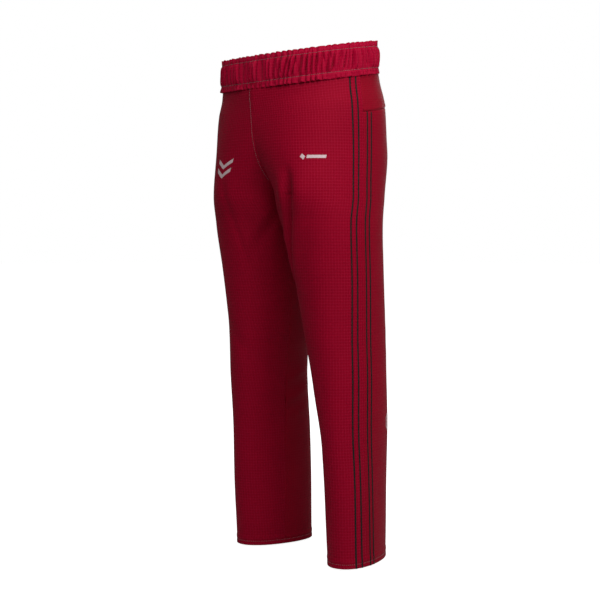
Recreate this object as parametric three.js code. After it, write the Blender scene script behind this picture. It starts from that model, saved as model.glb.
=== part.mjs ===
// Long pull-on over-trousers for ice hockey, hanging from the waist as if they were being worn.
// Millimetres, +Z up. The wearer faces -Y and the wearer's left leg is at +X.
// The origin is the middle of the waist opening, at half the height of the elastic.
import * as THREE from 'three';

// Overall lengths, measured up the side from the hem.
const OUTSEAM = 1040;
const RISE = 295;
const INSEAM = OUTSEAM - RISE;
const HIP_HEIGHT = INSEAM + 50;
const KNEE_HEIGHT = 470;
const MID_THIGH_HEIGHT = KNEE_HEIGHT + 115;

// The waist and the hips.
const HIP_HALF_WIDTH = 188;
const WAIST_HALF_WIDTH = HIP_HALF_WIDTH - 12;
const CROTCH_SPREAD = 93;
const BACK_RISE_SLOPE = 0.17;
const CORNER_POWER = 0.92;

// The legs.
const HEM_HALF_WIDTH = 48;
const HEM_SPREAD = 122;
const TOE_OUT = 16;

// The folds at the hips and the knees: which way each leg turns and how far.
const HIP_FLEXION = 60;
const HIP_EXTENSION = 15;
const KNEE_FLEXION = 90;
const FOLD_MARGIN = 1;
const HIP_AXIS_DEPTH = 32;
const KNEE_AXIS_DEPTH = 28;
const LEAST_FOLD = 4;

// Cloth, gaps and trim.
const PANEL_CLOTH = 2.4;
const CASING_CLOTH = 1.2;
const THREAD = 0.6;
const CLEARANCE = 0.4;
const SEAM_GAP = 0.7;
const PROUD_GAP = 1.3;

// The waistband: a gathered casing, folded over at the top, with the elastic inside.
const BAND_HEIGHT = 64;
const HEADING_HEIGHT = 10;
const RUFFLE_HEIGHT = 12;
const ELASTIC_THICKNESS = 1.6;
const BAND_AROUND = 48;
const STITCH_HEIGHT = 1.2;

// How deep the yoke is below the waistband, at the side seam and at the centre back.
const YOKE_SIDE_DEPTH = 72;
const YOKE_BACK_DEPTH = 46;

// Two pairs of piping run down each side, either side of the side seam.
const PIPING_WIDTH = 3;
const PIPING_THICKNESS = 1.2;
const FRONT_PAIR = [26, 13];
const BACK_PAIR = [-11, -23];
const PIPING_STEP = 32;

// How finely the panels are divided.
const PANEL_COLUMNS = 12;
const PANEL_STEP = 31;
const ROWS_BELOW_CROTCH = 2 / 3;

// The hems are turned up inside and stitched.
const HEM_TURN_UP = 20;
const HEM_STITCH_HEIGHT = 8;
const HEM_AROUND = 48;
const HEM_EASE = 1.8;

// The printed marks: the middle of each, above the crotch or above the hem.
const LEFT_THIGH_MARK_RISE = 70;
const RIGHT_THIGH_MARK_RISE = 55;
const CALF_MARK_SHARE = 0.6;
const LEFT_THIGH_MARK_ANGLE = -54;
const RIGHT_THIGH_MARK_ANGLE = -82;
const CALF_MARK_ANGLE = 43;

const FLY_STITCH_OFFSET = 6;

const BAND_BOTTOM = OUTSEAM - BAND_HEIGHT;
const ELASTIC_BOTTOM = BAND_BOTTOM + RUFFLE_HEIGHT;
const ELASTIC_TOP = OUTSEAM - HEADING_HEIGHT;
const ORIGIN_HEIGHT = (ELASTIC_BOTTOM + ELASTIC_TOP) / 2;
const PANEL_TOP = ELASTIC_BOTTOM - CLEARANCE - CASING_CLOTH;
const YOKE_SIDE_HEIGHT = BAND_BOTTOM - YOKE_SIDE_DEPTH;
const YOKE_BACK_HEIGHT = BAND_BOTTOM - YOKE_BACK_DEPTH;
const THIGH_LENGTH = INSEAM - KNEE_HEIGHT;
const UNDER_BAND = BAND_BOTTOM - 8;
const SHIN_ROWS = Math.ceil(KNEE_HEIGHT / PANEL_STEP);
const THIGH_ROWS = Math.ceil(THIGH_LENGTH / PANEL_STEP);
const SEAT_LENGTH = UNDER_BAND - INSEAM;

// Sections from the hem to the waist. Each gives its height, the middle of the leg, half its width,
// its depth to the front and to the back, its turn outwards in degrees, and how far in front of the
// widest point the side seam runs. At the crotch each leg just reaches the middle of the body.
const SECTIONS = [
  [0, HEM_SPREAD, 51, HEM_HALF_WIDTH, 87, 89, TOE_OUT, 42],
  [0.5 * KNEE_HEIGHT, HEM_SPREAD, 45, 50, 94, 93, 11, 41],
  [0.77 * KNEE_HEIGHT, 119, 32, 58, 92, 94, 5, 28],
  [KNEE_HEIGHT, 111, 24, 66, 95, 100, 2, 20],
  [KNEE_HEIGHT + 0.47 * THIGH_LENGTH, 105, 12, 77, 101, 104, 2, 16],
  [KNEE_HEIGHT + 0.8 * THIGH_LENGTH, 100, 3, 87, 109, 110, 2, 16],
  [INSEAM, CROTCH_SPREAD, 2, CROTCH_SPREAD, 122, 121, 0, 6],
  [INSEAM + 0.426 * SEAT_LENGTH, 58, 5, HIP_HALF_WIDTH - 60, 129, 141, 0, 8],
  [INSEAM + 0.785 * SEAT_LENGTH, 27, 5, HIP_HALF_WIDTH - 27, 127, 139, 0, 12],
  [UNDER_BAND, 0, 3, WAIST_HALF_WIDTH + 4, 126, 135, 0, 8],
  [OUTSEAM, 0, 0, WAIST_HALF_WIDTH, 125, 128, 0, 5],
].map(([height, x, y, half, front, back, turn, seam]) => {
  return { height, x, y, half, front, back, turn, seam };
});

// The waist tilts up towards the back; the tilt starts at the seat and is whole at the band.
const LIFT_FROM = INSEAM + 115;
const LIFT_TO = BAND_BOTTOM + 4;

const RED = { color: '#7c0a22', roughness: 0.62, metalness: 0 };
const YOKE_RED = { color: '#74101f', roughness: 0.66, metalness: 0 };
const BAND_RED = { color: '#8c1430', roughness: 0.6, metalness: 0 };
const BLACK = { color: '#1d1517', roughness: 0.5, metalness: 0 };
const THREAD_RED = { color: '#6f444b', roughness: 0.7, metalness: 0 };
const ELASTIC_GREY = { color: '#d8d6d2', roughness: 0.8, metalness: 0 };
const PRINT_GREY = { color: '#b4afb0', roughness: 0.55, metalness: 0 };

const group = new THREE.Group();
group.name = 'hockey_pants';

function mix(from, to, share) {
  return from + (to - from) * share;
}

function signedPower(value) {
  return Math.sign(value) * Math.abs(value) ** CORNER_POWER;
}

// One measure of the section, smooth between the stations and level where a neighbour turns back.
function measure(key, height) {
  const last = SECTIONS.length - 1;
  let below = 0;
  while (below < last - 1 && height > SECTIONS[below + 1].height) {
    below += 1;
  }
  const rise = (i) => SECTIONS[i + 1].height - SECTIONS[i].height;
  const secant = (i) => (SECTIONS[i + 1][key] - SECTIONS[i][key]) / rise(i);
  const slope = (i) => {
    const before = secant(Math.max(i - 1, 0));
    const after = secant(Math.min(i, last - 1));
    return before * after > 0 ? (2 * before * after) / (before + after) : 0;
  };
  const span = rise(below);
  const t = THREE.MathUtils.clamp((height - SECTIONS[below].height) / span, 0, 1);
  const ease = t * t * (3 - 2 * t);
  const value = mix(SECTIONS[below][key], SECTIONS[below + 1][key], ease);
  return value + span * t * (1 - t) * ((1 - t) * slope(below) - t * slope(below + 1));
}

// The angle round the leg at which its section meets the middle of the body; a whole half turn
// below the crotch. Angle 0 is the side, negative is towards the front.
function closingAngle(height) {
  if (height <= INSEAM) {
    return Math.PI;
  }
  const reach = Math.min(measure('x', height) / measure('half', height), 1);
  return Math.PI - Math.acos(reach ** (1 / CORNER_POWER));
}

// The angle of a line a given distance in front of the side seam.
function sideAngle(height, ahead) {
  const distance = measure('seam', height) + ahead;
  const depth = measure(distance > 0 ? 'front' : 'back', height);
  return -Math.sign(distance) * Math.asin((Math.abs(distance) / depth) ** (1 / CORNER_POWER));
}

// A point on the garment, a given offset outside its surface. The waist rises towards the back.
function surfacePoint(height, angle, offset) {
  const turn = THREE.MathUtils.degToRad(measure('turn', height));
  const half = measure('half', height);
  const front = measure('front', height);
  const back = measure('back', height);
  const onSection = (at) => {
    const across = half * signedPower(Math.cos(at));
    const along = (at < 0 ? front : back) * signedPower(Math.sin(at));
    return [
      measure('x', height) + across * Math.cos(turn) - along * Math.sin(turn),
      measure('y', height) + across * Math.sin(turn) + along * Math.cos(turn),
    ];
  };
  const [x, y] = onSection(angle);
  const before = onSection(angle - 0.02);
  const after = onSection(angle + 0.02);
  const dx = after[0] - before[0];
  const dy = after[1] - before[1];
  const length = Math.hypot(dx, dy);
  const lift = THREE.MathUtils.smoothstep(height, LIFT_FROM, LIFT_TO) * BACK_RISE_SLOPE;
  return new THREE.Vector3(
    x + (dy / length) * offset,
    y - (dx / length) * offset,
    height - ORIGIN_HEIGHT + lift * y,
  );
}

// Turns every face outwards, whichever way round the grid was laid.
function faceOutwards(points, faces) {
  let volume = 0;
  for (const [a, b, c] of faces) {
    volume += points[a].dot(points[b].clone().cross(points[c]));
  }
  return volume > 0 ? faces : faces.map(([a, b, c]) => [a, c, b]);
}

function addMesh(name, points, faces, finish, mirrored) {
  const placed = points.map((p) => new THREE.Vector3(mirrored ? -p.x : p.x, p.y, p.z));
  const geometry = new THREE.BufferGeometry().setFromPoints(placed);
  geometry.setIndex(faceOutwards(placed, faces).flat());
  geometry.computeVertexNormals();
  const mesh = new THREE.Mesh(geometry, new THREE.MeshStandardMaterial(finish));
  mesh.name = name;
  group.add(mesh);
}

function quad(faces, a, b, c, d) {
  faces.push([a, b, c], [a, c, d]);
}

// A closed sheet: pointAt(across, up, offset) is sampled on a grid on both faces of the cloth.
function addSheet(name, pointAt, across, up, offsets, finish, mirrored = false) {
  const points = [];
  for (const offset of offsets) {
    for (let j = 0; j <= up; j += 1) {
      for (let i = 0; i <= across; i += 1) {
        points.push(pointAt(i / across, j / up, offset));
      }
    }
  }
  const layer = (across + 1) * (up + 1);
  const at = (i, j, side) => side * layer + j * (across + 1) + i;
  const faces = [];
  for (let j = 0; j < up; j += 1) {
    for (let i = 0; i < across; i += 1) {
      quad(faces, at(i, j, 1), at(i + 1, j, 1), at(i + 1, j + 1, 1), at(i, j + 1, 1));
      quad(faces, at(i, j, 0), at(i, j + 1, 0), at(i + 1, j + 1, 0), at(i + 1, j, 0));
    }
  }
  for (let i = 0; i < across; i += 1) {
    quad(faces, at(i, 0, 0), at(i + 1, 0, 0), at(i + 1, 0, 1), at(i, 0, 1));
    quad(faces, at(i + 1, up, 0), at(i, up, 0), at(i, up, 1), at(i + 1, up, 1));
  }
  for (let j = 0; j < up; j += 1) {
    quad(faces, at(0, j + 1, 0), at(0, j, 0), at(0, j, 1), at(0, j + 1, 1));
    quad(faces, at(across, j, 0), at(across, j + 1, 0), at(across, j + 1, 1), at(across, j, 1));
  }
  addMesh(name, points, faces, finish, mirrored);
}

// A closed hoop: a profile of [offset, height] corners carried all the way round one section.
function addHoop(name, profile, around, finish, mirrored = false) {
  const points = [];
  for (let i = 0; i < around; i += 1) {
    for (const [offset, height] of profile) {
      points.push(surfacePoint(height, -Math.PI + (2 * Math.PI * (i + 0.5)) / around, offset));
    }
  }
  const corners = profile.length;
  const at = (i, k) => (i % around) * corners + (k % corners);
  const faces = [];
  for (let i = 0; i < around; i += 1) {
    for (let k = 0; k < corners; k += 1) {
      quad(faces, at(i, k), at(i, k + 1), at(i + 1, k + 1), at(i + 1, k));
    }
  }
  addMesh(name, points, faces, finish, mirrored);
}

function box(inner, outer, bottom, top) {
  return [[inner, bottom], [outer, bottom], [outer, top], [inner, top]];
}

// The angle at a share of the way across the front panel (centre to side) or the back panel
// (side to centre), with a small gap left at each seam.
function panelAngle(isFront, height, share) {
  const gap = SEAM_GAP / measure('front', height);
  const close = closingAngle(height) - gap;
  const side = sideAngle(height, 0);
  return isFront ? mix(-close, side - gap, share) : mix(side + gap, close, share);
}

// Where a fold line crosses the panel. The two lines of a fold open away from the joint's axis,
// just enough for the pieces above and below to meet when the leg is bent as far as it goes.
function foldHeight(isFront, share, fold, direction) {
  let low = fold.height - 190;
  let high = fold.height + 170;
  for (let step = 0; step < 40; step += 1) {
    const middle = (low + high) / 2;
    const point = surfacePoint(middle, panelAngle(isFront, middle, share), 0);
    const behind = point.y - fold.depth;
    const spread = Math.max(-behind * fold.front, behind * fold.back, LEAST_FOLD);
    if (middle < fold.height + direction * spread) {
      low = middle;
    } else {
      high = middle;
    }
  }
  return (low + high) / 2;
}

function foldSlope(degrees) {
  return Math.tan(THREE.MathUtils.degToRad(degrees / 2 + FOLD_MARGIN));
}

const HIP_FOLD = {
  height: HIP_HEIGHT,
  depth: HIP_AXIS_DEPTH,
  front: foldSlope(HIP_FLEXION),
  back: foldSlope(HIP_EXTENSION),
};
const KNEE_FOLD = {
  height: KNEE_HEIGHT,
  depth: KNEE_AXIS_DEPTH,
  front: 0,
  back: foldSlope(KNEE_FLEXION),
};

const foldTop = (fold) => (isFront, share) => foldHeight(isFront, share, fold, 1);
const foldBottom = (fold) => (isFront, share) => foldHeight(isFront, share, fold, -1);
const level = (height) => () => height;
const yokeSeam = (isFront, share) => mix(YOKE_SIDE_HEIGHT, YOKE_BACK_HEIGHT, share);

// The lengths of a panel, from the hem up. Rows is how many strips each is divided into.
const PANEL_LENGTHS = [
  { part: 'shin', from: level(0), to: foldBottom(KNEE_FOLD), rows: SHIN_ROWS },
  { part: 'knee_fold', from: foldBottom(KNEE_FOLD), to: foldTop(KNEE_FOLD), rows: 4 },
  { part: 'thigh', from: foldTop(KNEE_FOLD), to: foldBottom(HIP_FOLD), rows: THIGH_ROWS },
  { part: 'hip_fold', from: foldBottom(HIP_FOLD), to: foldTop(HIP_FOLD), rows: 5 },
];

// Rows crowd together near the middle of the body, where the crotch curve turns sharply.
function rowHeight(low, high, up, nearMiddle) {
  if (low > INSEAM) {
    return mix(low, high, mix(up, up ** 2, nearMiddle));
  }
  const even = mix(low, high, ROWS_BELOW_CROTCH);
  const bend = high > INSEAM ? mix(even, INSEAM, nearMiddle) : even;
  const above = (up - ROWS_BELOW_CROTCH) / (1 - ROWS_BELOW_CROTCH);
  return above > 0
    ? mix(bend, high, mix(above, above ** 2, nearMiddle))
    : mix(low, bend, up / ROWS_BELOW_CROTCH);
}

function addPanelPart(name, isFront, from, to, rows, finish, mirrored) {
  const gap = CLEARANCE / 2;
  const pointAt = (across, up, offset) => {
    const low = from(isFront, across);
    const high = to(isFront, across);
    const nearMiddle = THREE.MathUtils.smoothstep(isFront ? 1 - across : across, 0.6, 0.95);
    const height = rowHeight(low + (low > 0 ? gap : 0), high - gap, up, nearMiddle);
    return surfacePoint(height, panelAngle(isFront, height, across), offset);
  };
  addSheet(name, pointAt, PANEL_COLUMNS, rows, [-PANEL_CLOTH, 0], finish, mirrored);
}

// A cord laid down the side, proud of the panels.
function addPiping(name, ahead, bottom, top, mirrored) {
  const pointAt = (across, up, offset) => {
    const height = mix(bottom, top, up);
    const shift = mix(PIPING_WIDTH / 2, -PIPING_WIDTH / 2, across);
    return surfacePoint(height, sideAngle(height, ahead + shift), offset);
  };
  const rows = Math.ceil((top - bottom) / PIPING_STEP);
  addSheet(name, pointAt, 1, rows, [PROUD_GAP, PROUD_GAP + PIPING_THICKNESS], BLACK, mirrored);
}

// A flat printed mark: shape(across, up) gives its outline as distances from the centre.
function addMark(name, height, degrees, shape, columns, rows, mirrored) {
  const radius = measure('front', height);
  const angle = THREE.MathUtils.degToRad(degrees);
  const pointAt = (across, up, offset) => {
    const [sideways, upwards] = shape(across, up);
    return surfacePoint(height + upwards, angle + sideways / radius, offset);
  };
  addSheet(name, pointAt, columns, rows, [PROUD_GAP, PROUD_GAP + THREAD], PRINT_GREY, mirrored);
}

for (const mirrored of [false, true]) {
  const side = mirrored ? 'right' : 'left';

  // The two panels of each leg, in lengths that meet at the folds of the hip and the knee.
  for (const isFront of [true, false]) {
    const panel = `${side}_${isFront ? 'front' : 'back'}_panel`;
    for (const { part, from, to, rows } of PANEL_LENGTHS) {
      addPanelPart(`${panel}_${part}`, isFront, from, to, rows, RED, mirrored);
    }
    const top = isFront ? level(PANEL_TOP) : yokeSeam;
    addPanelPart(`${panel}_seat`, isFront, foldTop(HIP_FOLD), top, 5, RED, mirrored);
  }
  addPanelPart(`${side}_back_yoke`, false, yokeSeam, level(PANEL_TOP), 2, YOKE_RED, mirrored);

  // The piping, each line in an upper and a lower length that meet at mid thigh.
  const lines = { front: FRONT_PAIR, back: BACK_PAIR };
  for (const [pair, distances] of Object.entries(lines)) {
    const top = pair === 'front' ? BAND_BOTTOM - 1 : YOKE_SIDE_HEIGHT;
    distances.forEach((ahead, i) => {
      const name = `${side}_${pair}_piping_${i + 1}`;
      addPiping(`${name}_upper`, ahead, MID_THIGH_HEIGHT + CLEARANCE, top, mirrored);
      addPiping(`${name}_lower`, ahead, 0, MID_THIGH_HEIGHT, mirrored);
    });
  }

  // The turned-up hem inside the leg and the row of stitching that holds it.
  const hemOuter = -PANEL_CLOTH - HEM_EASE;
  const turnUp = box(hemOuter - CASING_CLOTH, hemOuter, 0, HEM_TURN_UP);
  addHoop(`${side}_hem_turn_up`, turnUp, HEM_AROUND, RED, mirrored);
  const hemOffset = PROUD_GAP + PIPING_THICKNESS + PROUD_GAP;
  const hemThread = box(hemOffset, hemOffset + THREAD, HEM_STITCH_HEIGHT, HEM_STITCH_HEIGHT + STITCH_HEIGHT);
  addHoop(`${side}_hem_stitching`, hemThread, HEM_AROUND, THREAD_RED, mirrored);
}

// The waistband casing: outer wall, closed heading, inner wall, open below inside the elastic.
const WALL_OUTER = PROUD_GAP + CASING_CLOTH;
const ELASTIC_OUTER = PROUD_GAP - CLEARANCE;
const ELASTIC_INNER = ELASTIC_OUTER - ELASTIC_THICKNESS;
const WALL_INNER = ELASTIC_INNER - CLEARANCE - CASING_CLOTH;
const casing = [
  [PROUD_GAP, BAND_BOTTOM],
  [WALL_OUTER, BAND_BOTTOM],
  [WALL_OUTER, OUTSEAM],
  [WALL_INNER, OUTSEAM],
  [WALL_INNER, ELASTIC_BOTTOM],
  [WALL_INNER + CASING_CLOTH, ELASTIC_BOTTOM],
  [WALL_INNER + CASING_CLOTH, ELASTIC_TOP],
  [PROUD_GAP, ELASTIC_TOP],
];
addHoop('waistband_casing', casing, BAND_AROUND, BAND_RED);
const elastic = box(ELASTIC_INNER, ELASTIC_OUTER, ELASTIC_BOTTOM, ELASTIC_TOP - CLEARANCE);
addHoop('waist_elastic', elastic, BAND_AROUND, ELASTIC_GREY);
for (const [name, height] of [['upper', ELASTIC_TOP], ['lower', ELASTIC_BOTTOM]]) {
  const inner = WALL_OUTER + CLEARANCE;
  const thread = box(inner, inner + THREAD, height, height + STITCH_HEIGHT);
  addHoop(`waistband_${name}_stitching`, thread, BAND_AROUND, THREAD_RED);
}

// The row of stitching beside the centre front seam, on the wearer's right.
function flyStitch(across, up, offset) {
  const height = mix(foldHeight(true, 0, HIP_FOLD, 1) + 2, BAND_BOTTOM - 1, up);
  const sideways = FLY_STITCH_OFFSET + mix(0, STITCH_HEIGHT, across);
  const angle = -closingAngle(height) + sideways / measure('half', height);
  return surfacePoint(height, angle, offset);
}
addSheet('centre_front_stitching', flyStitch, 1, 3, [PROUD_GAP, PROUD_GAP + THREAD], THREAD_RED, true);

// Plain printed marks: a slanted bar, a broad chevron and a six-sided badge.
const slantedBar = (across, up) => [mix(-30, 30, across) + mix(-4, 4, up), mix(-7, 7, up)];
const chevron = (across, up) => [mix(-24, 24, across), mix(-16, 14, up) + 13 * Math.abs(2 * across - 1)];
const badge = (across, up) => {
  const width = 44 - 22 * Math.abs(2 * up - 1);
  return [mix(-width / 2, width / 2, across), mix(-22, 22, up)];
};
addMark('left_thigh_mark', INSEAM + LEFT_THIGH_MARK_RISE, LEFT_THIGH_MARK_ANGLE, slantedBar, 6, 1, false);
addMark('right_thigh_mark', INSEAM + RIGHT_THIGH_MARK_RISE, RIGHT_THIGH_MARK_ANGLE, chevron, 6, 1, true);
addMark('left_calf_mark', CALF_MARK_SHARE * KNEE_HEIGHT, CALF_MARK_ANGLE, badge, 4, 4, false);

export default group;
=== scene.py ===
import math

import bpy
import numpy as np
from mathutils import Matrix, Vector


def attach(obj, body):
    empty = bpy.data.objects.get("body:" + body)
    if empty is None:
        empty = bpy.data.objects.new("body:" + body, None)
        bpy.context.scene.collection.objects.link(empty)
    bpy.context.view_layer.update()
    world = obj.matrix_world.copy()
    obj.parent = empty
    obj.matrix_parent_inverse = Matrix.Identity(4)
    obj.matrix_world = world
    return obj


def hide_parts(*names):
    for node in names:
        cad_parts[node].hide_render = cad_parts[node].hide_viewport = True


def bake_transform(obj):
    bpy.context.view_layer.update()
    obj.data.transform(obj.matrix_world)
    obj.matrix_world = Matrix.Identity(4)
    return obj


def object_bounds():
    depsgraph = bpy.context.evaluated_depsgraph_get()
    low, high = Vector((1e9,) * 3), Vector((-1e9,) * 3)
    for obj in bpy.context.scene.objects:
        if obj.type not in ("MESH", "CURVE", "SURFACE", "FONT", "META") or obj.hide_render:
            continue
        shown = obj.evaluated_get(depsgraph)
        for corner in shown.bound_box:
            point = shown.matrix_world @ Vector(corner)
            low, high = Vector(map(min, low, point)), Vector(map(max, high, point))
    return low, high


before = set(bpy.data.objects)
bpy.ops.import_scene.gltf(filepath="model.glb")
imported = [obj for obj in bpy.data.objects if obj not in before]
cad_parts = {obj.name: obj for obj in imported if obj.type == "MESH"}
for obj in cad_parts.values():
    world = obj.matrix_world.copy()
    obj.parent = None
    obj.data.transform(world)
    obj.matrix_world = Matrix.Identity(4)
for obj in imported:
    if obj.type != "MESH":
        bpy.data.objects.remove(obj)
cad_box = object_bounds()

# ---------------------------------------------------------------------------------------------
# Leg panels. Front and back panels of each leg, cut from fine grid-woven polyester and joined at
# the side seam, the inseam and the centre seams. Each is one length of cloth from the band to
# the hem; it is made here in an upper and a lower length that meet unseen above the knee.
# ---------------------------------------------------------------------------------------------
ORIGIN_HEIGHT = 1009.0
INSEAM = 745.0
BAND_BOTTOM = 976.0
ELASTIC_BOTTOM = 988.0
ELASTIC_TOP = 1030.0
OUTSEAM = 1040.0
LENGTHS_MEET = 585.0
YOKE_SIDE, YOKE_BACK = 904.0, 930.0
CORNER_POWER = 0.92
BACK_RISE_SLOPE = 0.17
CLOTH = 0.5
TURN_UP = 20.0
HEM_STITCH = 8.0
STITCH_ROW = HEM_STITCH + 0.6
TURNED_HEM_RISE = 0.8
SEAM_ROLL = 0.4
SEAM_EDGE = 0.006
SLOPE_STEP = 0.02
CENTRE_REACH = 18.0

# The trouser's sections, in millimetres above the hem: middle of the leg, half width, depth to
# the front and back, turn-out in degrees, and how far in front of the widest point the seam is.
HEIGHTS = np.array([0, 235, 362, 470, 599, 690, 745, 840, 920, 968, 1040], float)
SECTION = {
    "x": [122, 122, 119, 111, 105, 100, 93, 58, 27, 0, 0],
    "y": [51, 45, 32, 24, 12, 3, 2, 5, 5, 3, 0],
    "half": [48, 50, 58, 66, 77, 87, 93, 128, 161, 180, 176],
    "front": [87, 94, 92, 95, 101, 109, 122, 129, 127, 126, 125],
    "back": [89, 93, 94, 100, 104, 110, 121, 141, 139, 135, 128],
    "turn": [16, 11, 5, 2, 2, 2, 0, 0, 0, 0, 0],
    "seam": [42, 41, 28, 20, 16, 16, 6, 8, 12, 8, 5],
}


def measure(key, height):
    """One measure of the section at each height, smooth between the stations."""
    value = np.array(SECTION[key], float)
    secant = np.diff(value) / np.diff(HEIGHTS)
    before = np.concatenate([secant[:1], secant])
    after = np.concatenate([secant, secant[-1:]])
    with np.errstate(divide="ignore", invalid="ignore"):
        slope = np.where(before * after > 0, 2 * before * after / (before + after), 0.0)
    i = np.clip(np.searchsorted(HEIGHTS, height, side="right") - 1, 0, len(HEIGHTS) - 2)
    span = HEIGHTS[i + 1] - HEIGHTS[i]
    t = np.clip((height - HEIGHTS[i]) / span, 0, 1)
    ease = t * t * (3 - 2 * t)
    flat = value[i] + (value[i + 1] - value[i]) * ease
    return flat + span * t * (1 - t) * ((1 - t) * slope[i] - t * slope[i + 1])


def smooth(x, low, high):
    """Rises evenly from 0 at the low end to 1 at the high end."""
    t = np.clip((x - low) / (high - low), 0, 1)
    return t * t * (3 - 2 * t)


def bump(x, middle, width):
    """A soft hump: 1 at its middle, and almost nothing two widths away."""
    return np.exp(-(((x - middle) / width) ** 2))


def closing_angle(height):
    """Angle round the leg where the section meets the middle of the body; half a turn below it."""
    reach = np.clip(measure("x", height) / measure("half", height), 0, 1) ** (1 / CORNER_POWER)
    return np.where(height <= INSEAM, math.pi, math.pi - np.arccos(reach))


def side_angle(height, ahead=0.0):
    """Angle of a line a given distance in front of the side seam."""
    distance = measure("seam", height) + ahead
    depth = np.where(distance > 0, measure("front", height), measure("back", height))
    return -np.sign(distance) * np.arcsin((np.abs(distance) / depth) ** (1 / CORNER_POWER))


def section_point(height, angle):
    """Sideways and front-to-back place on the smooth shape, in millimetres, for the left leg."""

    def power(value):
        return np.sign(value) * np.abs(value) ** CORNER_POWER

    depth = np.where(angle < 0, measure("front", height), measure("back", height))
    across = measure("half", height) * power(np.cos(angle))
    along = depth * power(np.sin(angle))
    turn = np.radians(measure("turn", height))
    x = measure("x", height) + across * np.cos(turn) - along * np.sin(turn)
    y = measure("y", height) + across * np.sin(turn) + along * np.cos(turn)
    return x, y


def hang(height, angle, left):
    """How far the cloth stands out of its smooth shape: the soft folds it hangs in."""
    degrees = np.degrees(angle)
    out = np.zeros(np.broadcast(height, angle).shape)
    x, _ = section_point(height, angle)
    # Folds that differ from side to side die out at the centre seam, which joins the two sides.
    off_centre = 1 - np.exp(-((x / CENTRE_REACH) ** 2))
    # The valley down the front of the thigh, deep on the left leg and faint on the right.
    run = smooth(height, 545, 620) * (1 - smooth(height, 740, 810))
    valley_heights = [560, 620, 660, 700, 740, 780, 820]
    middle = np.interp(height, valley_heights, [-130, -119, -110, -101, -91, -84, -80])
    banks = 0.4 * bump(degrees, middle - 11, 7) + 0.3 * bump(degrees, middle + 14, 10)
    valley = bump(degrees, middle, 4.4) - banks
    out -= (13.0 if left else 1.6) * run * valley * off_centre
    # The inner front of each thigh swells out below the crotch.
    out += 8.0 * bump(height, 712, 34) * bump(degrees, -142, 17)
    # Folds that fan out from the crotch down the inner thigh, front and back.
    inner = np.abs(degrees)
    for lean, depth, width in ((0.10, 2.6, 7), (0.30, -2.4, 8), (0.52, 1.8, 9)):
        line = 168 - lean * (INSEAM - height)
        span = smooth(height, 590, 690) * (1 - smooth(height, 735, 790))
        out += depth * bump(inner, line, width) * span
    # The centre front stands up in a low ridge along its seam.
    ridge = smooth(height, 770, 860) * (angle < 0)
    out += 4.6 * np.exp(-np.abs(x) / 26) * ridge
    # Slack behind the knee, and below the seat.
    for middle, tilt, depth in ((512, 16, 2.2), (470, -16, 3.0), (424, 13, 2.2)):
        line = middle + tilt * np.sin(np.radians(degrees - 60))
        out += depth * bump(height, line, 13) * bump(degrees, 118, 44)
    for middle, tilt, depth in ((748, 40, 2.8), (712, 30, 2.4), (672, 22, 1.6)):
        line = middle + tilt * np.cos(np.radians(degrees))
        out += depth * bump(height, line, 14) * bump(degrees, 122, 36)
    # Small folds on the inside of the calf.
    for middle, depth in ((372, 2.4), (328, 3.2), (286, 1.8)):
        line = middle - 0.5 * (inner - 150)
        out += depth * bump(height, line, 11) * bump(degrees, 158, 26)
    # A slanting fold across the shin, deeper on the right leg.
    line = 452 + 1.1 * (degrees + 90)
    out -= (0.6 if left else 2.0) * bump(height, line, 20) * bump(degrees, -96, 30)
    # Slow waves down the whole leg.
    phase = 0.0 if left else 2.1
    wave = np.sin(height / 47 + 2 * angle + phase)
    wave = wave + 0.7 * np.sin(height / 83 - 3 * angle + 1.7 * phase)
    away = 0.3 + 0.7 * smooth(inner, 20, 60)
    span = smooth(height, 20, 150) * (1 - smooth(height, 800, 940))
    out += 0.5 * wave * away * off_centre * span
    # Along the side seam the joined edges lie in a shallow groove.
    gap = (angle - side_angle(height)) * measure("half", height)
    out -= 0.3 * np.exp(-((gap / 2.0) ** 2))
    # The yoke seam, with the seam allowance standing up a little above it.
    share = (angle - side_angle(height)) / (closing_angle(height) - side_angle(height))
    above = height - (YOKE_SIDE + (YOKE_BACK - YOKE_SIDE) * share)
    out += (angle > side_angle(height)) * (0.9 * bump(above, 4, 4.5) - 1.5 * bump(above, 0, 1.5))
    # The turned-up hem is a little thicker, and its row of stitches pulls it in.
    out += TURNED_HEM_RISE * (1 - smooth(height, TURN_UP - 3, TURN_UP))
    out -= 0.9 * bump(height, STITCH_ROW, 1.6)
    # The cloth is drawn in where it runs up under the band.
    out -= 1.0 * smooth(height, 962, 976)
    return out


def trouser_point(height, angle, offset=0.0, left=True):
    """A point on the trousers in metres, a given distance in millimetres outside the cloth."""
    height, angle = np.broadcast_arrays(np.asarray(height, float), np.asarray(angle, float))
    x, y = section_point(height, angle)
    ax, ay = section_point(height, angle - SLOPE_STEP)
    bx, by = section_point(height, angle + SLOPE_STEP)
    length = np.hypot(bx - ax, by - ay)
    out = offset + hang(height, angle, left)
    side = np.where(x < 0.05, 0, np.maximum(x + (by - ay) / length * out, 0))
    depth = y - (bx - ax) / length * out
    back_rise = smooth(height, INSEAM + 115, BAND_BOTTOM + 4) * BACK_RISE_SLOPE * y
    up = height - ORIGIN_HEIGHT + back_rise
    return np.stack([side if left else -side, depth, up], -1) * 0.001


def add_mesh(name, points, faces, uvs=None):
    """A mesh object from points, quads or triangles, and a texture place for each point."""
    data = bpy.data.meshes.new(name)
    data.from_pydata(points.tolist(), [], faces)
    if uvs is not None:
        layer = data.uv_layers.new(name="cloth")
        loops = np.empty(len(data.loops), int)
        data.loops.foreach_get("vertex_index", loops)
        layer.data.foreach_set("uv", uvs[loops].astype(np.float32).ravel())
    data.shade_smooth()
    data.set_sharp_from_angle(angle=math.radians(55))
    data.update()
    piece = bpy.data.objects.new(name, data)
    bpy.context.scene.collection.objects.link(piece)
    return piece


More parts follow.
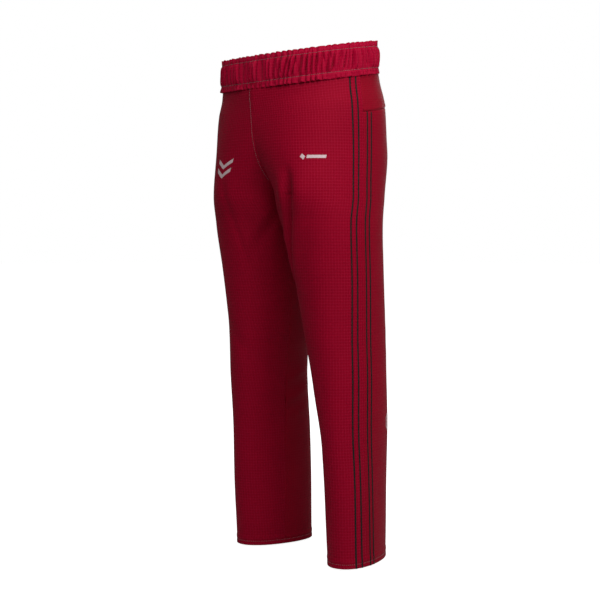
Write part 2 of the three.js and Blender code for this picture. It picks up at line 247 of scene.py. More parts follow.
def sheet_faces(rows, columns, flip, ring=False):
    """Faces of a thin closed sheet: an outer grid, an inner grid and the edges between them."""
    layer = rows * columns
    index = np.arange(layer).reshape(rows, columns)
    if ring:
        index = np.concatenate([index, index[:, :1]], 1)
    a, b, c, d = index[:-1, :-1], index[:-1, 1:], index[1:, 1:], index[1:, :-1]
    outer = np.stack([a, b, c, d], -1).reshape(-1, 4)
    inner = outer[:, ::-1] + layer
    low, high = index[0], index[-1]
    edges = [
        np.stack([low[1:], low[:-1], low[:-1] + layer, low[1:] + layer], -1),
        np.stack([high[:-1], high[1:], high[1:] + layer, high[:-1] + layer], -1),
    ]
    if not ring:
        near, far = index[:, 0], index[:, -1]
        edges.append(np.stack([near[:-1], near[1:], near[1:] + layer, near[:-1] + layer], -1))
        edges.append(np.stack([far[1:], far[:-1], far[:-1] + layer, far[1:] + layer], -1))
    faces = np.concatenate([outer, inner, *edges])
    return (faces[:, ::-1] if flip else faces).tolist()


def add_thin(name, outer, inner, flip, places=None, ring=False):
    """A thin closed piece between an outer and an inner grid of points."""
    points = np.concatenate([outer.reshape(-1, 3), inner.reshape(-1, 3)])
    uvs = None if places is None else np.concatenate([places.reshape(-1, 2)] * 2)
    return add_mesh(name, points, sheet_faces(*outer.shape[:2], flip, ring), uvs)


def cloth_places(outer, height, start):
    """Where each point lies on the cut cloth, in metres: across from one column, and up."""
    across = np.linalg.norm(np.diff(outer, axis=1), axis=2)
    across = np.concatenate([np.zeros((len(outer), 1)), np.cumsum(across, 1)], 1)
    across -= across[:, [start]]
    return np.stack([across, np.broadcast_to(height, across.shape) * 0.001], -1)


def cloth_area(grid):
    """Area of a grid of points, in square metres."""
    one = grid[1:, 1:] - grid[:-1, :-1]
    other = grid[1:, :-1] - grid[:-1, 1:]
    return float(np.linalg.norm(np.cross(one, other), axis=-1).sum() / 2)


def add_cloth(name, height, angle, left, seam_column):
    """A panel of cloth whose edges roll in slightly at the seams."""
    share = np.linspace(0, 1, height.shape[1])
    roll = -SEAM_ROLL * (bump(share, 0, SEAM_EDGE) + bump(share, 1, SEAM_EDGE))
    outer = trouser_point(height, angle, roll, left)
    inner = trouser_point(height, angle, roll - CLOTH, left)
    piece = add_thin(name, outer, inner, not left, cloth_places(outer, height, seam_column))
    return piece, cloth_area(outer)


def seam_shares(count):
    """Shares across a panel, closer together next to the seams."""
    even = np.linspace(0, 1, count)
    return np.sort(np.concatenate([even, [0.003, 0.007, 0.993, 0.997]]))


def panel_angle(is_front, height, share):
    """Angle round the leg at each share of the way across a front or a back panel."""
    side, close = side_angle(height), closing_angle(height)
    return -close + (side + close) * share if is_front else side + (close - side) * share


def knit(tree, kind, **inputs):
    """Adds one shader node and sets or links its inputs by name."""
    node = tree.nodes.new(kind)
    for key, value in inputs.items():
        if key.startswith("_"):
            setattr(node, key[1:], value)
            continue
        by_number = key[1:].isdigit()
        socket = node.inputs[int(key[1:]) if by_number else key.replace("_", " ")]
        if isinstance(value, bpy.types.NodeSocket):
            tree.links.new(value, socket)
        else:
            socket.default_value = value
    return node


def maths(tree, operation, a, b=None):
    """Adds one sum on one or two numbers and gives its result."""
    inputs = {"i0": a} if b is None else {"i0": a, "i1": b}
    return knit(tree, "ShaderNodeMath", _operation=operation, **inputs).outputs[0]


def new_material(name):
    """A material, its node tree and its surface shader."""
    material = bpy.data.materials.new(name)
    material.use_nodes = True
    return material, material.node_tree, material.node_tree.nodes["Principled BSDF"]


def new_group(name, inputs, outputs):
    """A shader node group with named inputs and outputs."""
    tree = bpy.data.node_groups.new(name, "ShaderNodeTree")
    for label, kind, value in inputs:
        socket = tree.interface.new_socket(name=label, in_out="INPUT", socket_type=kind)
        if value is not None:
            socket.default_value = value
    for label, kind in outputs:
        tree.interface.new_socket(name=label, in_out="OUTPUT", socket_type=kind)
    source = tree.nodes.new("NodeGroupInput")
    sink = tree.nodes.new("NodeGroupOutput")
    return tree, source.outputs, sink.inputs


# The grid weave: raised threads every few millimetres each way over a fine plain weave.
weave, given, result = new_group(
    "grid_weave",
    [
        ("Place", "NodeSocketVector", None),
        ("Pitch", "NodeSocketFloat", 0.0056),
        ("Thread", "NodeSocketFloat", 0.3),
        ("Fine", "NodeSocketFloat", 0.0011),
    ],
    [("Lines", "NodeSocketFloat"), ("Crossings", "NodeSocketFloat"), ("Relief", "NodeSocketFloat")],
)
place = knit(weave, "ShaderNodeSeparateXYZ", Vector=given["Place"])
lines, fines = [], []
for axis in ("X", "Y"):
    turns = maths(weave, "DIVIDE", place.outputs[axis], given["Pitch"])
    from_middle = maths(weave, "ABSOLUTE", maths(weave, "SUBTRACT", maths(weave, "FRACT", turns), 0.5))
    line = knit(
        weave, "ShaderNodeMapRange", Value=from_middle,
        From_Min=given["Thread"], From_Max=0.0, To_Min=0.0, To_Max=1.0, _interpolation_type="SMOOTHSTEP",
    )
    lines.append(line.outputs[0])
    strands = maths(weave, "DIVIDE", place.outputs[axis], given["Fine"])
    fines.append(maths(weave, "SINE", maths(weave, "MULTIPLY", strands, 2 * math.pi)))
both = maths(weave, "MULTIPLY", lines[0], lines[1])
either = maths(weave, "MAXIMUM", lines[0], lines[1])
fine = maths(weave, "MULTIPLY", maths(weave, "MULTIPLY", fines[0], fines[1]), 0.22)
weave.links.new(either, result["Lines"])
weave.links.new(both, result["Crossings"])
coarse = maths(weave, "ADD", either, maths(weave, "MULTIPLY", both, 0.5))
weave.links.new(maths(weave, "ADD", coarse, fine), result["Relief"])

# Slow unevenness of dye and of handling, over a hand's breadth and over a thumb's.
uneven, given, result = new_group(
    "cloth_unevenness",
    [("Place", "NodeSocketVector", None), ("Amount", "NodeSocketFloat", 0.1)],
    [("Shade", "NodeSocketFloat"), ("Fuzz", "NodeSocketFloat")],
)
slow = knit(
    uneven, "ShaderNodeTexNoise", Vector=given["Place"], Scale=9.0, Detail=3.0, Roughness=0.5
)
quick = knit(
    uneven, "ShaderNodeTexNoise", Vector=given["Place"], Scale=420.0, Detail=2.0, Roughness=0.6
)
broad = maths(uneven, "SUBTRACT", slow.outputs[0], 0.5)
specks = maths(uneven, "MULTIPLY", maths(uneven, "SUBTRACT", quick.outputs[0], 0.5), 0.35)
shade = maths(uneven, "MULTIPLY", maths(uneven, "ADD", broad, specks), given["Amount"])
uneven.links.new(maths(uneven, "ADD", shade, 1.0), result["Shade"])
uneven.links.new(quick.outputs[0], result["Fuzz"])


def cloth_material(name, colour, line_colour, line_share, pitch, thread, relief, sheen):
    """Red sports cloth: grid weave with lighter lines and painted glints where they cross, uneven dye, a
    soft pale sheen at grazing angles.
    """
    material, tree, shader = new_material(name)
    cloth = knit(tree, "ShaderNodeUVMap", _uv_map="cloth")
    grid = tree.nodes.new("ShaderNodeGroup")
    grid.node_tree = weave
    tree.links.new(cloth.outputs[0], grid.inputs["Place"])
    grid.inputs["Pitch"].default_value = pitch
    grid.inputs["Thread"].default_value = thread
    spots = tree.nodes.new("ShaderNodeGroup")
    spots.node_tree = uneven
    tree.links.new(knit(tree, "ShaderNodeTexCoord").outputs["Object"], spots.inputs["Place"])
    spots.inputs["Amount"].default_value = 0.22
    # Painted highlight: the grid lines are mixed toward the lighter line colour, partly as the weave's
    # own colour and partly in place of the gloss of the raised threads. Their crossings are lightened
    # further as painted glints.
    lines_and_glints = maths(tree, "ADD", grid.outputs["Lines"], grid.outputs["Crossings"])
    line_and_glint_mask = maths(tree, "MULTIPLY", lines_and_glints, line_share)
    mixed = knit(
        tree, "ShaderNodeMix", _data_type="RGBA", i0=line_and_glint_mask, i6=(*colour, 1), i7=(*line_colour, 1)
    )
    dyed = knit(
        tree, "ShaderNodeVectorMath", _operation="SCALE",
        i0=mixed.outputs[2], Scale=spots.outputs["Shade"],
    )
    tree.links.new(dyed.outputs[0], shader.inputs["Base Color"])
    half_fuzz = maths(tree, "MULTIPLY", spots.outputs["Fuzz"], 0.5)
    gloss = knit(
        tree, "ShaderNodeMapRange", Value=maths(tree, "ADD", grid.outputs["Crossings"], half_fuzz),
        From_Min=0.0, From_Max=1.4, To_Min=0.62, To_Max=0.47,
    )
    tree.links.new(gloss.outputs[0], shader.inputs["Roughness"])
    nap = maths(tree, "MULTIPLY", spots.outputs["Fuzz"], 0.3)
    height = maths(tree, "ADD", grid.outputs["Relief"], nap)
    raised = knit(tree, "ShaderNodeBump", Height=height, Strength=relief, Distance=0.0004)
    tree.links.new(raised.outputs[0], shader.inputs["Normal"])
    shader.inputs["Sheen Weight"].default_value = sheen
    shader.inputs["Sheen Roughness"].default_value = 0.35
    shader.inputs["Sheen Tint"].default_value = (0.9, 0.72, 0.72, 1)
    shader.inputs["Specular IOR Level"].default_value = 0.04
    return material


LEG_RED = (0.24, 0.0, 0.0125)
GRID_PITCH = 0.0058
GRID_THREAD = 0.24
leg_cloth = cloth_material(
    "leg_cloth", LEG_RED, line_colour=(0.35, 0.008, 0.036), line_share=0.32,
    pitch=GRID_PITCH, thread=GRID_THREAD, relief=0.55, sheen=0.02,
)
# Painted shade: the back panels and the inside of the hems take a copy of the leg cloth with darker,
# fainter grid lines. It stands in for the shade on the back, away from the main light.
painted_shade_cloth = cloth_material(
    "painted_shade_cloth", LEG_RED, line_colour=(0.29, 0.012, 0.026), line_share=0.24,
    pitch=GRID_PITCH, thread=GRID_THREAD, relief=0.4, sheen=0.05,
)


def bend_at_hip(piece):
    """Fixes the piece's placement in its points; it is not bent at the groin here."""
    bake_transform(piece)


def bend_at_knee(piece):
    """Fixes the piece's placement in its points; it is not bent at the knee here."""
    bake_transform(piece)


# Heights of the rows: even up to the crotch, then close together where its curve turns.
CLOTH_TOP = ELASTIC_BOTTOM - 2
hem_rows, leg_rows = np.linspace(0, 30, 16), np.linspace(30, LENGTHS_MEET, 112)
lower_rows = np.unique(np.concatenate([hem_rows, leg_rows]))
below_crotch = np.linspace(LENGTHS_MEET, INSEAM, 36)[:-1]
above_crotch = INSEAM + (CLOTH_TOP - INSEAM) * np.linspace(0, 1, 84) ** 1.6
upper_rows = np.concatenate([below_crotch, above_crotch])
shares = seam_shares(70)

for side in ("left", "right"):
    left = side == "left"
    for face in ("front", "back"):
        is_front = face == "front"
        # Front panels take the leg cloth; back panels take its copy with painted shade.
        front_or_shaded_cloth = leg_cloth if is_front else painted_shade_cloth
        panel = f"{side}_{face}_panel"

        # The last rows of a back panel lie close together under the yoke seam.
        if is_front:
            rows = np.broadcast_to(upper_rows[:, None], (len(upper_rows), len(shares)))
        else:
            top = YOKE_SIDE + (YOKE_BACK - YOKE_SIDE) * shares
            lift = (upper_rows - INSEAM).clip(0) / (upper_rows[-1] - INSEAM)
            lift = np.concatenate([lift[:-1], [0.986, 0.991, 0.9955, 1.0]])[:, None]
            below = np.append(upper_rows[:-1], [INSEAM + 1] * 4)[:, None]
            rows = np.where(below < INSEAM, below, INSEAM + (top - INSEAM) * lift)
        seam_column = -1 if is_front else 0
        angle = panel_angle(is_front, rows, shares)
        upper, area = add_cloth(panel + "_upper", rows, angle, left, seam_column)
        rows = np.broadcast_to(lower_rows[:, None], (len(lower_rows), len(shares)))
        angle = panel_angle(is_front, rows, shares)
        lower, lower_area = add_cloth(panel + "_lower", rows, angle, left, seam_column)
        for piece in (upper, lower):
            piece.data.materials.append(front_or_shaded_cloth)
        bend_at_hip(upper)
        bend_at_knee(lower)
        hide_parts(*(f"{panel}_{part}" for part in ("seat", "hip_fold", "thigh")))
        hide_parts(*(f"{panel}_{part}" for part in ("knee_fold", "shin")))

# ---------------------------------------------------------------------------------------------
# Back yokes. A shallow shaped piece of the same red cloth across the top of the seat on each
# side, smooth faced with faint cross lines, sewn to the back panel along a rising seam.
# ---------------------------------------------------------------------------------------------
yoke_cloth = cloth_material(
    "yoke_cloth", (0.225, 0.0, 0.0105), line_colour=(0.27, 0.02, 0.03), line_share=0.2,
    pitch=0.0042, thread=GRID_THREAD, relief=0.35, sheen=0.07,
)
for side in ("left", "right"):
    left = side == "left"
    low = YOKE_SIDE + (YOKE_BACK - YOKE_SIDE) * shares
    share_up = np.concatenate([[0, 0.012, 0.025, 0.045], np.linspace(0.07, 1, 22)])[:, None]
    rows = low + (CLOTH_TOP - low) * share_up
    yoke, area = add_cloth(f"{side}_yoke", rows, panel_angle(False, rows, shares), left, 0)
    yoke.data.materials.append(yoke_cloth)
    bend_at_hip(yoke)
    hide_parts(f"{side}_back_yoke")

# ---------------------------------------------------------------------------------------------
# Waistband. One strip of the red cloth folded over at the top round a wide elastic and sewn
# through above and below it. The relaxed elastic gathers it into close, irregular pleats, with a
# frilled heading above and a frilled edge below the rows of stitches.
# ---------------------------------------------------------------------------------------------
BAND_COLUMNS = 1120
BAND_MIDDLE = 1008.0
CASING_DEPTH = 0.125
BACK_WALL = 8.0
PLEAT_HEIGHT, PLEAT_SINK = 12.0, 6.4
around = np.linspace(-math.pi, math.pi, BAND_COLUMNS, endpoint=False)
ring_x, ring_y = section_point(np.full(BAND_COLUMNS + 1, BAND_MIDDLE), np.append(around, math.pi))
girth = np.hypot(np.diff(ring_x), np.diff(ring_y)) * 0.001
along_band = np.concatenate([[0], np.cumsum(girth)])[:-1]
band_girth = girth.sum()


def slow_wave(seed, turns):
    """A smooth irregular wave round the band, the same each time for one seed."""
    random = np.random.default_rng(seed)
    angle = 2 * math.pi * along_band / band_girth
    wave = np.zeros_like(angle)
    for k in turns:
        wave += random.normal() * np.cos(k * angle + random.uniform(0, 6.28))
    return wave / math.sqrt(len(turns) / 2)


def pleats(count, seed, wander):
    """Rounded puffs with narrow valleys, unevenly wide and high: 0 in a valley, 1 on top."""
    phase = math.pi * count * along_band / band_girth + wander * slow_wave(seed, range(3, 26))
    size = np.clip(0.85 + 0.22 * slow_wave(seed + 1, range(5, 40)), 0.5, 1.15)
    return np.abs(np.cos(phase)) ** 0.8 * size


fold_main = pleats(90, 5, 0.8)
fold_extra = pleats(57, 21, 0.7)
frill_top = pleats(74, 31, 0.6) - 0.6
frill_low = pleats(80, 41, 0.6) - 0.6
lean = 2.0 + 2.6 * slow_wave(61, range(2, 12))


def slid(wave, far):
    """The same wave moved along the band, so that the folds lean."""
    along, once_round = along_band * 1000, band_girth * 1000
    return np.interp((along + far) % once_round, along, wave, period=once_round)


def band_offset(height):
    """How far the outer face of the casing stands out at each height."""
    share = np.clip((height - ELASTIC_BOTTOM) / (ELASTIC_TOP - ELASTIC_BOTTOM), 0, 1)
    channel = np.clip(1 - np.abs(2 * share - 1) ** 4.0, 0, 1)
    shift = lean * (1 - 2 * share)
    fold = 0.78 * slid(fold_main, shift) + 0.22 * slid(fold_extra, -shift)
    above = smooth(height, ELASTIC_TOP, OUTSEAM)
    below = 1 - smooth(height, BAND_BOTTOM, ELASTIC_BOTTOM)
    out = 1.2 + (PLEAT_HEIGHT * fold - PLEAT_SINK) * (0.22 + 0.78 * channel)
    out = out + above * (-1.6 + 4.4 * frill_top) + below * (0.6 + 5.0 * frill_low)
    pinch = bump(height, ELASTIC_TOP, 1.8) + bump(height, ELASTIC_BOTTOM, 1.8)
    return out - 0.8 * pinch


outer_heights = np.concatenate([
    np.linspace(BAND_BOTTOM, ELASTIC_BOTTOM, 9)[:-1],
    np.linspace(ELASTIC_BOTTOM, ELASTIC_TOP, 30)[:-1],
    np.linspace(ELASTIC_TOP, OUTSEAM, 8),
])
top_ripple = 0.7 + 1.5 * frill_top
profile = []
for height in outer_heights:
    ripple = 1.6 * (1 - smooth(height, BAND_BOTTOM, ELASTIC_BOTTOM)) * frill_low
    ripple = ripple + smooth(height, ELASTIC_TOP, OUTSEAM) * top_ripple
    profile.append((height + ripple, band_offset(height)))
crest = profile[-1][1]
profile.append((OUTSEAM + 0.5 + top_ripple, crest - 0.8))
profile.append((OUTSEAM + top_ripple, crest - 1.6))
for height in outer_heights[::-1][2:-8]:
    inward = 0.3 * (band_offset(height) + 4.0) * (height <= ELASTIC_TOP)
    top_share = smooth(height, ELASTIC_TOP, OUTSEAM)
    back_off = -BACK_WALL * (1 - top_share) + (crest - 2.2) * top_share - inward
    profile.append((height + top_share * top_ripple, back_off))


def band_point(height, offset):
    """A point round the whole band, in metres."""
    level = np.full(BAND_COLUMNS, BAND_MIDDLE)
    x, y = section_point(level, around)
    ax, ay = section_point(level, around - SLOPE_STEP)
    bx, by = section_point(level, around + SLOPE_STEP)
    length = np.hypot(bx - ax, by - ay)
    taper = (measure("half", height) / measure("half", np.array(BAND_MIDDLE)) - 1) * x
    side = x + taper + (by - ay) / length * offset
    depth = y - (bx - ax) / length * offset
    up = height - ORIGIN_HEIGHT + BACK_RISE_SLOPE * y
    return np.stack([side, depth, up], -1) * 0.001


face_points = np.array([band_point(height, offset) for height, offset in profile])
along = np.roll(face_points, -1, 1) - np.roll(face_points, 1, 1)
away = np.cross(along, np.gradient(face_points, axis=0))
away /= np.linalg.norm(away, axis=-1, keepdims=True)
under_points = face_points - away * CLOTH * 0.001
casing_length = cloth_area(face_points) / CASING_DEPTH
steps_up = np.linalg.norm(np.diff(face_points[:, 0], axis=0), axis=1)
run_up = np.concatenate([[0], np.cumsum(steps_up)])
run_along = np.arange(BAND_COLUMNS) * casing_length / BAND_COLUMNS
band_places = np.stack(np.meshgrid(run_along, run_up), -1)
casing = add_thin("waistband_cloth", face_points, under_points, False, band_places, ring=True)
band_cloth = cloth_material(
    "band_cloth", (0.3, 0.0, 0.02), line_colour=(0.37, 0.012, 0.045), line_share=0.25,
    pitch=GRID_PITCH, thread=GRID_THREAD, relief=0.4, sheen=0.05,
)
casing.data.materials.append(band_cloth)
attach(casing, "waist")
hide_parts("waistband_casing")

# ---------------------------------------------------------------------------------------------
# Elastic. A pale ribbed knitted elastic closed into a hoop inside the casing. It is seen only
# from below, behind the inner wall of the band.
# ---------------------------------------------------------------------------------------------
ELASTIC_OUTSIDE, ELASTIC_INSIDE = 5.9, 7.1
RIB_PITCH = 0.0032
elastic, tree, shader = new_material("ribbed_elastic")
where = knit(tree, "ShaderNodeTexCoord").outputs["Object"]
where = knit(tree, "ShaderNodeSeparateXYZ", Vector=where)
ribs = maths(tree, "SINE", maths(tree, "MULTIPLY", where.outputs["Z"], 2 * math.pi / RIB_PITCH))
tint = knit(
    tree, "ShaderNodeMix", _data_type="RGBA",
    i0=maths(tree, "ADD", maths(tree, "MULTIPLY", ribs, 0.3), 0.5),
    i6=(0.42, 0.41, 0.39, 1), i7=(0.66, 0.65, 0.62, 1),
)
tree.links.new(tint.outputs[2], shader.inputs["Base Color"])
raised = knit(tree, "ShaderNodeBump", Height=ribs, Strength=0.6, Distance=0.0004)
tree.links.new(raised.outputs[0], shader.inputs["Normal"])
shader.inputs["Roughness"].default_value = 0.85
rise = np.linspace(ELASTIC_BOTTOM + 1, ELASTIC_TOP - 1, 14)
outer = np.array([band_point(height, -ELASTIC_OUTSIDE) for height in rise])
inner = np.array([band_point(height, -ELASTIC_INSIDE) for height in rise])
hoop = add_thin("elastic_hoop", outer, inner, False, ring=True)
hoop.data.materials.append(elastic)
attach(hoop, "waist")
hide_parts("waist_elastic")

# ---------------------------------------------------------------------------------------------
# Piping. Two pairs of thin black cords down each side, in front of and behind the side seam,
# sewn flat to the panels. The front pair starts at the band and the back pair at the yoke seam.
# ---------------------------------------------------------------------------------------------
PIPING_WIDTH = 3.5
PIPING_RISE = 1.2
PIPING_STEP = 4.5
TWIST_PITCH = 0.0016
piping, tree, shader = new_material("black_piping")
cloth = knit(tree, "ShaderNodeUVMap", _uv_map="cloth")
where = knit(tree, "ShaderNodeSeparateXYZ", Vector=cloth.outputs[0])
slant = maths(tree, "ADD", maths(tree, "MULTIPLY", where.outputs["X"], 1.4), where.outputs["Y"])
twist = maths(tree, "SINE", maths(tree, "MULTIPLY", slant, 2 * math.pi / TWIST_PITCH))
tint = knit(
    tree, "ShaderNodeMix", _data_type="RGBA",
    i0=maths(tree, "ADD", maths(tree, "MULTIPLY", twist, 0.35), 0.5),
    i6=(0.004, 0.003, 0.0035, 1), i7=(0.016, 0.011, 0.012, 1),
)
tree.links.new(tint.outputs[2], shader.inputs["Base Color"])
raised = knit(tree, "ShaderNodeBump", Height=twist, Strength=0.7, Distance=0.0003)
tree.links.new(raised.outputs[0], shader.inputs["Normal"])
shader.inputs["Roughness"].default_value = 0.6
shader.inputs["Specular IOR Level"].default_value = 0.2


def add_piping(name, ahead, heights, left):
    """A cord with a low domed section, laid along the panel."""
    across = np.linspace(-1, 1, 7)
    dome = 0.15 + PIPING_RISE * np.sqrt(np.clip(1 - across**2, 0, 1))
    height = np.broadcast_to(heights[:, None], (len(heights), len(across)))
    angle = side_angle(height, ahead - across * PIPING_WIDTH / 2)
    outer = trouser_point(height, angle, dome, left)
    inner = trouser_point(height, angle, 0.05, left)
    middle_column = len(across) // 2
    piece = add_thin(name, outer, inner, not left, cloth_places(outer, height, middle_column))
    piece.data.materials.append(piping)
    return piece


# Each pair's distances in front of the side seam, and the height where it starts.
PAIRS = {"front": ((26, 13), BAND_BOTTOM + 4), "back": ((-11, -23), YOKE_SIDE + 1)}
for side in ("left", "right"):
    left = side == "left"
    for pair, (distances, top) in PAIRS.items():
        upper_steps = np.append(np.arange(LENGTHS_MEET, top, PIPING_STEP), top)
        lower_steps = np.append(np.arange(0, LENGTHS_MEET, PIPING_STEP), LENGTHS_MEET)
        for number, ahead in enumerate(distances, 1):
            name = f"{side}_{pair}_piping_{number}"
            cord = add_piping(name + "_cord_upper", ahead, upper_steps, left)
            bend_at_hip(cord)
            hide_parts(name + "_upper")
            cord = add_piping(name + "_cord_lower", ahead, lower_steps, left)
            bend_at_knee(cord)
            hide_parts(name + "_lower")

# ---------------------------------------------------------------------------------------------
# Hems. The bottom of each leg is turned up inside once and held by a row of stitches. The fold
# lies against the inside of the leg, and its raw edge is out of sight.
# ---------------------------------------------------------------------------------------------
HEM_FOLD_START = 0.4
HEM_FOLD_GAP = 0.25
for side in ("left", "right"):
    left = side == "left"
    loop = np.linspace(-math.pi, math.pi, 160, endpoint=False)
    rise = np.linspace(HEM_FOLD_START, TURN_UP, 12)
    height = np.broadcast_to(rise[:, None], (len(rise), len(loop)))
    outer = trouser_point(height, loop, -CLOTH - HEM_FOLD_GAP, left)
    inner = trouser_point(height, loop, -2 * CLOTH - HEM_FOLD_GAP, left)
    places = cloth_places(outer, height, 0)
    turn_up = add_thin(f"{side}_hem_fold", outer, inner, not left, places, ring=True)
    # The turn-up takes the copy of the cloth with painted shade.
    turn_up.data.materials.append(painted_shade_cloth)
    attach(turn_up, f"{side}_shin")
    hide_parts(f"{side}_hem_turn_up")

# ---------------------------------------------------------------------------------------------
# Stitching. Rows of spun thread, each stitch a short raised bead that dips into the cloth at its
# ends: above and below the elastic, round the hems and beside the centre front seam.
# ---------------------------------------------------------------------------------------------
thread, tree, shader = new_material("stitch_thread")
where = knit(tree, "ShaderNodeTexCoord").outputs["Object"]
fuzz = knit(tree, "ShaderNodeTexNoise", Vector=where, Scale=1500.0, Detail=2.0).outputs[0]
tint = knit(
    tree, "ShaderNodeMix", _data_type="RGBA", i0=fuzz,
    i6=(0.13, 0.045, 0.05, 1), i7=(0.27, 0.13, 0.14, 1),
)
tree.links.new(tint.outputs[2], shader.inputs["Base Color"])
raised = knit(tree, "ShaderNodeBump", Height=fuzz, Strength=0.4, Distance=0.0002)
tree.links.new(raised.outputs[0], shader.inputs["Normal"])
shader.inputs["Roughness"].default_value = 0.6
shader.inputs["Sheen Weight"].default_value = 0.3


def add_stitches(name, path, outward, closed, stitch=0.003, gap=0.0011, thick=0.0009):
    """Beads of thread along a path of points lying on the cloth."""
    if closed:
        path = np.concatenate([path, path[:1]])
        outward = np.concatenate([outward, outward[:1]])
    steps = np.linalg.norm(np.diff(path, axis=0), axis=1)
    run = np.concatenate([[0], np.cumsum(steps)])
    count = max(int(run[-1] / (stitch + gap)), 1)
    starts = np.arange(count) * run[-1] / count
    length = run[-1] / count - gap

    def at(values, where):
        """The values at a distance along the path."""
        return np.stack([np.interp(where, run, values[:, k]) for k in range(3)], -1)

    rings, sides = 5, 6
    points, faces = [], []
    for start in starts:
        base = len(points) * rings * sides
        block = []
        for ring in range(rings):
            share = ring / (rings - 1)
            place = start + share * length
            centre = at(path, place)
            normal = at(outward, place)
            normal /= np.linalg.norm(normal)
            ahead = at(path, place + 0.0005) - at(path, place - 0.0005)
            across = np.cross(normal, ahead / max(np.linalg.norm(ahead), 1e-9))
            swell = math.sin(math.pi * (0.12 + 0.76 * share))
            centre = centre + normal * thick * (0.5 * swell - 0.12)
            for k in range(sides):
                turn = 2 * math.pi * k / sides
                spoke = math.cos(turn) * across + math.sin(turn) * normal
                block.append(centre + thick * 0.5 * swell * spoke)
        points.append(block)
        for ring in range(rings - 1):
            for k in range(sides):
                a, b = base + ring * sides + k, base + ring * sides + (k + 1) % sides
                faces.append([a, b, b + sides, a + sides])
        faces.append([base + k for k in range(sides)][::-1])
        faces.append([base + (rings - 1) * sides + k for k in range(sides)])
    piece = add_mesh(name, np.array(points).reshape(-1, 3), faces)
    piece.data.materials.append(thread)
    return piece


for name, height in (("upper", ELASTIC_TOP), ("lower", ELASTIC_BOTTOM)):
    row = int(np.argmin([abs(h.mean() - height) for h, _ in profile[: len(outer_heights)]]))
    stitches = add_stitches(f"band_{name}_stitches", face_points[row], away[row], closed=True)
    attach(stitches, "waist")
    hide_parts(f"waistband_{name}_stitching")

for side in ("left", "right"):
    left = side == "left"
    loop = np.linspace(-math.pi, math.pi, 240, endpoint=False)
    path = trouser_point(STITCH_ROW, loop, 0.0, left)
    outward = trouser_point(STITCH_ROW, loop, 1.0, left) - path
    stitches = add_stitches(f"{side}_hem_stitches", path, outward, closed=True)
    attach(stitches, f"{side}_shin")
    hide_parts(f"{side}_hem_stitching")

FLY_BOTTOM, FLY_STITCH_OFFSET = 775, 6.0
fly_heights = np.linspace(FLY_BOTTOM, BAND_BOTTOM + 3, 90)
fly_angle = -closing_angle(fly_heights) + FLY_STITCH_OFFSET / measure("half", fly_heights)
path = trouser_point(fly_heights, fly_angle, 0.0, False)
outward = trouser_point(fly_heights, fly_angle, 1.0, False) - path
fly = add_stitches("centre_front_stitches", path, outward, closed=False)
bend_at_hip(fly)
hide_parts("centre_front_stitching")

# ---------------------------------------------------------------------------------------------
# Printed marks. Plain pale-grey shapes screen-printed on both thighs and on the left calf: a
# bar with slanted ends and a small diamond, a pair of chevrons, and a six-sided ring.
# ---------------------------------------------------------------------------------------------
ink, tree, shader = new_material("pale_print")
where = knit(tree, "ShaderNodeTexCoord").outputs["Object"]
noise = knit(tree, "ShaderNodeTexNoise", Vector=where, Scale=600.0, Detail=3.0, Roughness=0.65)
wear = noise.outputs[0]
tint = knit(
    tree, "ShaderNodeMix", _data_type="RGBA",
    i0=knit(tree, "ShaderNodeMapRange", Value=wear, From_Min=0.35, From_Max=0.7).outputs[0],
    i6=(0.62, 0.5, 0.51, 1), i7=(0.5, 0.33, 0.35, 1),
)
tree.links.new(tint.outputs[2], shader.inputs["Base Color"])
raised = knit(tree, "ShaderNodeBump", Height=wear, Strength=0.25, Distance=0.0002)
tree.links.new(raised.outputs[0], shader.inputs["Normal"])
shader.inputs["Roughness"].default_value = 0.5


def add_mark(name, height, degrees, shapes, left):
    """A thin printed shape on the cloth, each part given as four corners, across and up."""
    points, faces = [], []
    radius = float(measure("front", np.array(float(height))))
    steps = 13
    grid = np.linspace(0, 1, steps)
    for corners in shapes:
        c = np.array(corners, float)
        u, v = np.meshgrid(grid, grid)
        flat = (
            c[0] * ((1 - u) * (1 - v))[..., None] + c[1] * (u * (1 - v))[..., None]
            + c[2] * (u * v)[..., None] + c[3] * ((1 - u) * v)[..., None]
        )
        angle = math.radians(degrees) + flat[..., 0] / radius
        outer = trouser_point(height + flat[..., 1], angle, 0.22, left)
        inner = trouser_point(height + flat[..., 1], angle, 0.02, left)
        base = sum(len(p) for p in points)
        points += [outer.reshape(-1, 3), inner.reshape(-1, 3)]
        faces += (np.array(sheet_faces(steps, steps, flip=not left)) + base).tolist()
    piece = add_mesh(name, np.concatenate(points), faces)
    piece.data.materials.append(ink)
    return piece


bar = [[(-12, -3), (30, -3), (32, 3), (-10, 3)], [(-26, 0), (-20, -6), (-14, 0), (-20, 6)]]
mark = add_mark("left_thigh_print", height=815, degrees=-54, shapes=bar, left=True)
bend_at_hip(mark)
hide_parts("left_thigh_mark")
chevrons = []
for low in (-16, 2):
    chevrons.append([(-24, low + 10), (0, low - 3), (0, low + 5), (-24, low + 18)])
    chevrons.append([(0, low - 3), (24, low + 10), (24, low + 18), (0, low + 5)])
mark = add_mark("right_thigh_print", height=800, degrees=-82, shapes=chevrons, left=False)
bend_at_hip(mark)
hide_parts("right_thigh_mark")
RING_OUTSIDE, RING_INSIDE = 22, 15
ring = []
for k in range(6):
    one, two = math.radians(60 * k + 30), math.radians(60 * k + 90)
    corners = ((RING_OUTSIDE, one), (RING_OUTSIDE, two), (RING_INSIDE, two), (RING_INSIDE, one))
    ring.append([(radius * math.cos(turn), radius * math.sin(turn)) for radius, turn in corners])
mark = add_mark("left_calf_print", height=282, degrees=43, shapes=ring, left=True)
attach(mark, "left_shin")
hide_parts("left_calf_mark")

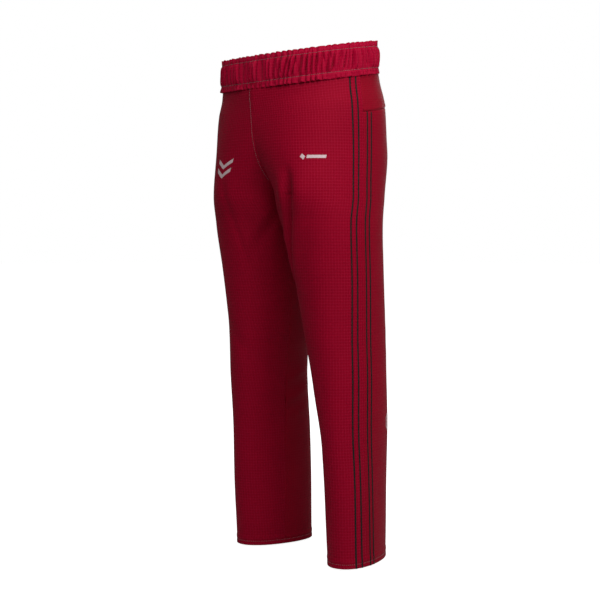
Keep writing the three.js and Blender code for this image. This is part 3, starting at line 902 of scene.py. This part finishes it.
# ---------------------------------------------------------------------------------------------
# The studio. A plain pale floor and backdrop, three soft lights and the camera. The main light
# comes from the trousers' left side, and the other two fill in the front and the back.
# ---------------------------------------------------------------------------------------------
floor_level = cad_box[0][2] - 0.004
corners = [(-30, -30), (30, -30), (30, 30), (-30, 30)]
floor = add_mesh("studio_floor", np.array([(x, y, floor_level) for x, y in corners]), [[0, 1, 2, 3]])
pale, tree, shader = new_material("studio_white")
shader.inputs["Base Color"].default_value = (0.6, 0.6, 0.6, 1)
shader.inputs["Roughness"].default_value = 1.0
shader.inputs["Specular IOR Level"].default_value = 0.0
shader.inputs["Emission Color"].default_value = (1, 1, 1, 1)
seen = knit(tree, "ShaderNodeLightPath").outputs["Is Camera Ray"]
glow = knit(tree, "ShaderNodeMapRange", Value=seen, To_Min=0.0, To_Max=0.95)
tree.links.new(glow.outputs[0], shader.inputs["Emission Strength"])
floor.data.materials.append(pale)

world = bpy.data.worlds.new("studio_world")
bpy.context.scene.world = world
world.use_nodes = True
sky = world.node_tree.nodes["Background"]
sky.inputs["Color"].default_value = (1, 1, 1, 1)
seen = knit(world.node_tree, "ShaderNodeLightPath").outputs["Is Camera Ray"]
bright = knit(world.node_tree, "ShaderNodeMapRange", Value=seen, To_Min=0.22, To_Max=1.0)
world.node_tree.links.new(bright.outputs[0], sky.inputs["Strength"])
bpy.context.scene.view_settings.view_transform = "Standard"

VIEW_MIDDLE = np.array([0, 0, (520 - ORIGIN_HEIGHT) / 1000])
LIGHTS_MIDDLE = np.array([0, 0, -0.45])


def aim_at(thing, middle, azimuth, elevation, distance):
    """Places a light or the camera at an angle round a point, and turns it to that point."""
    a, e = math.radians(azimuth), math.radians(elevation)
    toward = np.array([math.sin(a) * math.cos(e), -math.cos(a) * math.cos(e), math.sin(e)])
    thing.location = toward * distance + middle
    thing.rotation_euler = (math.pi / 2 - e, 0, a)
    bpy.context.scene.collection.objects.link(thing)


def add_light(name, azimuth, elevation, distance, size, power):
    """A square soft light at an angle round the trousers, aimed at their middle."""
    lamp = bpy.data.lights.new(name, "AREA")
    lamp.size = size
    lamp.energy = power
    light = bpy.data.objects.new(name, lamp)
    aim_at(light, LIGHTS_MIDDLE, azimuth, elevation, distance)


add_light("key_light", 84, 34, 2.1, size=1.0, power=20)
add_light("front_fill", 44, 50, 1.9, size=1.0, power=17)
add_light("back_fill", 210, 25, 3.2, size=2.0, power=30)

lens = bpy.data.cameras.new("camera")
camera = bpy.data.objects.new("camera", lens)
aim_at(camera, VIEW_MIDDLE, azimuth=45, elevation=2.965, distance=2.4896)
lens.sensor_width = 36
lens.lens = 71.94
lens.shift_x = 0.0044
lens.shift_y = 0.0085
lens.clip_end = 100
bpy.context.scene.camera = camera
